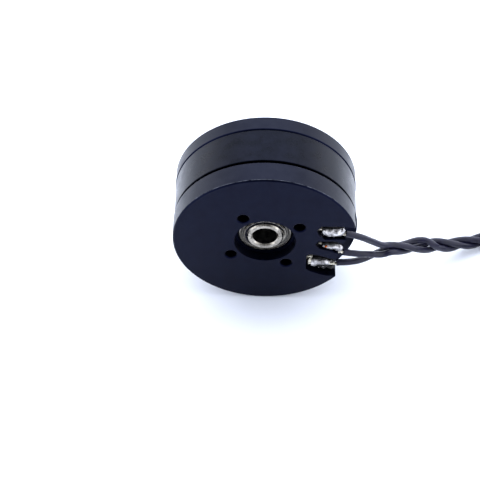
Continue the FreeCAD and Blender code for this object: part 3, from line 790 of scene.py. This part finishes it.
class MOTOR_OT_bearings(bpy.types.Operator):
    """Make both bearings: ground rings, pressed shields, balls and cages"""
    bl_idname = "motor.bearings"
    bl_label = "Bearings"

    def execute(self, context):
        ground = shared(ground_bearing_steel)
        for prefix, cage_body in (("front_bearing", "front_cage"),
                                  ("rear_bearing", "rear_cage")):
            self.grind_ring(prefix + "_outer_ring", "stator", fit_radius=0.0060,
                            race_radius=0.0054, outward=1)
            self.grind_ring(prefix + "_inner_ring", "rotor", fit_radius=0.0040,
                            race_radius=0.00455, outward=-1)
            finished_node(prefix + "_balls", cage_body, ground)
            finished_node(prefix + "_cage", cage_body, shared(natural_nylon))
            self.press_shields(prefix)
        return {"FINISHED"}

    def grind_ring(self, node, body, fit_radius, race_radius, outward):
        """A ring whose fit side has rounded corners and whose race side has a ball groove."""
        low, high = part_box(node)
        first, last = low[1], high[1]
        middle = (first + last) / 2
        corner, corner_depth, bulge = 0.0004 * outward, 0.0003, 0.3
        profile = [(race_radius, first), (fit_radius - corner, first),
                   (fit_radius - corner * bulge, first + corner_depth * bulge),
                   (fit_radius, first + corner_depth), (fit_radius, last - corner_depth),
                   (fit_radius - corner * bulge, last - corner_depth * bulge),
                   (fit_radius - corner, last), (race_radius, last)]
        groove = ((0.00045, 0.0), (0.0003, 0.00016), (0.0, 0.00024),
                  (-0.0003, 0.00016), (-0.00045, 0.0))
        for along, depth in groove:
            profile.append((race_radius + depth * outward, middle + along))
        ring = piece_from(spun(profile), node + "_ground", body,
                          shared(ground_bearing_steel), [node])
        # The corner at the housing is painted dark as painted shade, where the housing's lip
        # shades it.
        shaded_corner_from = 0.00563
        retone(ring, shared(black_oxide_steel),
               lambda centre, normal: from_axis(centre) > shaded_corner_from)

    def press_shields(self, prefix):
        """Each shield is a pressed washer: a curled rim, a step and a flat inner land."""
        low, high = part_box(prefix + "_shields")
        outer, first, last = high[0], low[1], high[1]
        inner = 0.00465
        # Radius, and depth below the bearing's face.
        washer = [(inner, 0.00005), (inner, 0.0002), (0.005, 0.0002), (0.0051, 0.00028),
                  (outer, 0.00028), (outer, 0.00003), (outer - 0.00008, -0.00002),
                  (outer - 0.0002, 0.00001), (outer - 0.0003, 0.00011), (0.00512, 0.00011),
                  (0.00498, 0.0), (inner + 0.00006, 0.0)]
        both = bmesh.new()
        for face, inward in ((first, 1), (last, -1)):
            half = spun([(radius, face + inward * depth) for radius, depth in washer])
            join_shape(both, half)
        bmesh.ops.recalc_face_normals(both, faces=both.faces)
        piece_from(both, prefix + "_pressed_shields", "stator",
                   shared(pressed_shield_steel), [prefix + "_shields"])


# ------------------------------------------------------------------ terminals
# Lumps in millimetres: centre (x, y, z), half sizes (x, y, z), and how far +X leans down.
SOLDER_LUMPS = {
    "solder_joint_upper": [((14.7, 1.1, 2.35), (2.6, 1.0, 1.3), 0),
                           ((13.2, 1.3, 1.75), (1.3, 0.7, 0.75), 8),
                           ((16.1, 1.2, 2.45), (1.2, 0.85, 0.95), -14)],
    "solder_joint_middle": [((14.4, 1.25, -2.75), (2.3, 0.8, 0.8), 6),
                            ((16.0, 1.2, -3.3), (1.1, 0.7, 0.95), 20)],
    "solder_joint_lower": [((12.1, 1.2, -8.0), (2.4, 0.85, 0.85), 10),
                           ((10.9, 1.15, -8.5), (1.0, 0.85, 0.95), 0),
                           ((14.2, 1.2, -8.35), (1.6, 0.6, 0.5), 14)],
}
# Tinned strands between each joint and its lead, and the tinned ends of the windings.
TINNED_LUMPS = [((17.1, 1.1, 1.85), (1.0, 0.5, 0.42), 10),
                ((17.9, 1.1, 1.6), (0.6, 0.4, 0.35), 20),
                ((16.3, 1.05, -4.25), (1.5, 0.42, 0.34), 22),
                ((15.0, 0.95, -8.35), (1.5, 0.4, 0.32), 13),
                ((9.85, 1.25, -7.9), (0.62, 0.7, 1.15), -6)]
# Near-black lumps low in the pocket, as painted shade.
POCKET_SHADE_LUMPS = [((11.0, 2.9, -10.0), (1.9, 1.5, 0.9), 10),
                 ((12.9, 2.7, -10.5), (1.8, 1.4, 0.9), 0),
                 ((14.6, 2.9, -10.9), (1.2, 1.5, 0.8), 6),
                 ((13.6, 3.3, -11.3), (2.2, 1.1, 0.5), 0)]
# Where the eyelets stand on the board (x, z), and balls' centres and radii, in millimetres.
EYELETS = [(12.0, 2.17), (11.75, -2.76), (9.75, -7.2)]
BEADS = [((10.35, 1.42, -10.55), 0.16), ((12.95, 1.3, -10.05), 0.17),
         ((12.0, 1.5, -10.7), 0.08)]
COPPER_END = [((13.25, 0.62, -2.1), 0.3)]


def melt(lumps, name, voxel_mm, rough_mm):
    """Lumps run together into one closed skin, wrinkled by rough_mm."""
    shape = bmesh.new()
    for centre, half, lean in lumps:
        made = bmesh.ops.create_icosphere(shape, subdivisions=4, radius=MM)["verts"]
        bmesh.ops.scale(shape, vec=half, verts=made)
        bmesh.ops.rotate(shape, cent=(0, 0, 0), verts=made,
                         matrix=Matrix.Rotation(math.radians(lean), 3, "Y"))
        bmesh.ops.translate(shape, vec=Vector(centre) * MM, verts=made)
    mesh = bpy.data.meshes.new(name)
    shape.to_mesh(mesh)
    shape.free()
    holder = bpy.data.objects.new(name, mesh)
    bpy.context.scene.collection.objects.link(holder)
    skin = holder.modifiers.new("skin", "REMESH")
    skin.mode = "VOXEL"
    skin.voxel_size = voxel_mm * MM
    ease = holder.modifiers.new("ease", "SMOOTH")
    ease.factor = 0.6
    ease.iterations = 6
    posed = holder.evaluated_get(bpy.context.evaluated_depsgraph_get())
    result = bmesh.new()
    result.from_mesh(posed.to_mesh())
    posed.to_mesh_clear()
    bpy.data.objects.remove(holder)
    # Waves about 0.7 mm long, and smaller ones of 0.25 mm.
    coarse, fine, fine_share = 1.5, 4.0, 0.3
    for vertex in result.verts:
        place = vertex.co / MM
        vertex.co += vertex.normal * rough_mm * MM * (
            noise.noise(place * coarse) + fine_share * noise.noise(place * fine))
    return result


def balls(places):
    """Small balls at (centre, radius) places in millimetres."""
    shape = bmesh.new()
    for centre, radius in places:
        bmesh.ops.create_icosphere(shape, subdivisions=3, radius=radius * MM,
                                   matrix=Matrix.Translation(Vector(centre) * MM))
    return shape


class MOTOR_OT_terminals(bpy.types.Operator):
    """Make the terminal board's solder joints, tinned strands, eyelets, and near-black lumps as
    painted shade in the pocket
    """
    bl_idname = "motor.terminals"
    bl_label = "Terminals"

    def execute(self, context):
        finished_node("terminal_board", "stator", shared(solder_mask),
                      edge=0.00006)
        finished_node("phase_wires", "stator",
                      shared(enamelled_copper, context.scene.motor_sizes))
        for node, lumps in SOLDER_LUMPS.items():
            piece_from(melt(lumps, node, voxel_mm=0.1, rough_mm=0.12), node + "_pool",
                       "stator", shared(bright_solder), [node], smooth_degrees=60)
        piece_from(melt(TINNED_LUMPS, "strands", voxel_mm=0.08, rough_mm=0.16),
                   "tinned_strands", "stator", shared(tinned_copper),
                   smooth_degrees=60)
        piece_from(melt(POCKET_SHADE_LUMPS, "pocket_shade_lumps", voxel_mm=0.11, rough_mm=0.3),
                   "pocket_painted_shade", "stator", shared(pocket_shade_residue),
                   smooth_degrees=60)
        piece_from(balls(BEADS), "solder_beads", "stator", shared(bright_solder))
        piece_from(balls(COPPER_END), "copper_strand_end", "stator",
                   shared(bare_copper))
        self.set_eyelets()
        return {"FINISHED"}

    def set_eyelets(self):
        """Tinned eyelets in which the windings' ends stand."""
        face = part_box("terminal_board")[0][1]
        eyelets = bmesh.new()
        for across, up in EYELETS:
            ring = spun([(0.00035, face), (0.00037, face - 0.00035), (0.0005, face - 0.00055),
                         (0.00072, face - 0.00045), (0.0009, face - 0.0001), (0.0009, face)],
                        steps=36)
            bmesh.ops.translate(ring, vec=(across * MM, 0, up * MM), verts=ring.verts)
            join_shape(eyelets, ring)
        piece_from(eyelets, "tinned_eyelets", "stator", shared(tinned_copper))


# ------------------------------------------------------------------ stator
class MOTOR_OT_stator(bpy.types.Operator):
    """Finish the stator core, its insulators and the coils"""
    bl_idname = "motor.stator"
    bl_label = "Stator"

    def execute(self, context):
        sizes = context.scene.motor_sizes
        finished_node("stator_core", "stator",
                      shared(laminated_steel, sizes))
        for name in ("front_slot_insulator", "rear_slot_insulator"):
            finished_node(name, "stator", shared(moulded_nylon),
                          edge=0.00006)
        copper = shared(enamelled_copper, sizes)
        for name in sorted(n for n in frame["nodes"] if n.startswith("coil_")):
            finished_node(name, "stator", copper, edge=0.0003)
        return {"FINISHED"}


# ------------------------------------------------------------------ add-on
class MOTOR_PT_panel(bpy.types.Panel):
    """The motor's operators and settings"""
    bl_label = "Hollow-shaft motor"
    bl_idname = "MOTOR_PT_panel"
    bl_space_type = "VIEW_3D"
    bl_region_type = "UI"
    bl_category = "Motor"

    def draw(self, context):
        for operator in OPERATORS:
            self.layout.operator(operator.bl_idname)
        for name in MotorSizes.__annotations__:
            self.layout.prop(context.scene.motor_sizes, name)
        for name in MotorStage.__annotations__:
            self.layout.prop(context.scene.motor_stage, name)


OPERATORS = (MOTOR_OT_stage, MOTOR_OT_leads, MOTOR_OT_base_plate, MOTOR_OT_rotor,
             MOTOR_OT_shaft, MOTOR_OT_bearings, MOTOR_OT_terminals, MOTOR_OT_stator)
CLASSES = (MotorSizes, MotorStage, *OPERATORS, MOTOR_PT_panel)


def register():
    for item in CLASSES:
        bpy.utils.register_class(item)
    bpy.types.Scene.motor_sizes = bpy.props.PointerProperty(type=MotorSizes)
    bpy.types.Scene.motor_stage = bpy.props.PointerProperty(type=MotorStage)


def unregister():
    del bpy.types.Scene.motor_stage
    del bpy.types.Scene.motor_sizes
    for item in reversed(CLASSES):
        bpy.utils.unregister_class(item)


def main():
    register()
    bpy.ops.motor.stage()
    bpy.ops.motor.leads()
    bpy.ops.motor.base_plate()
    bpy.ops.motor.rotor()
    bpy.ops.motor.shaft()
    bpy.ops.motor.bearings()
    bpy.ops.motor.terminals()
    bpy.ops.motor.stator()


if __name__ == "__main__":
    main()
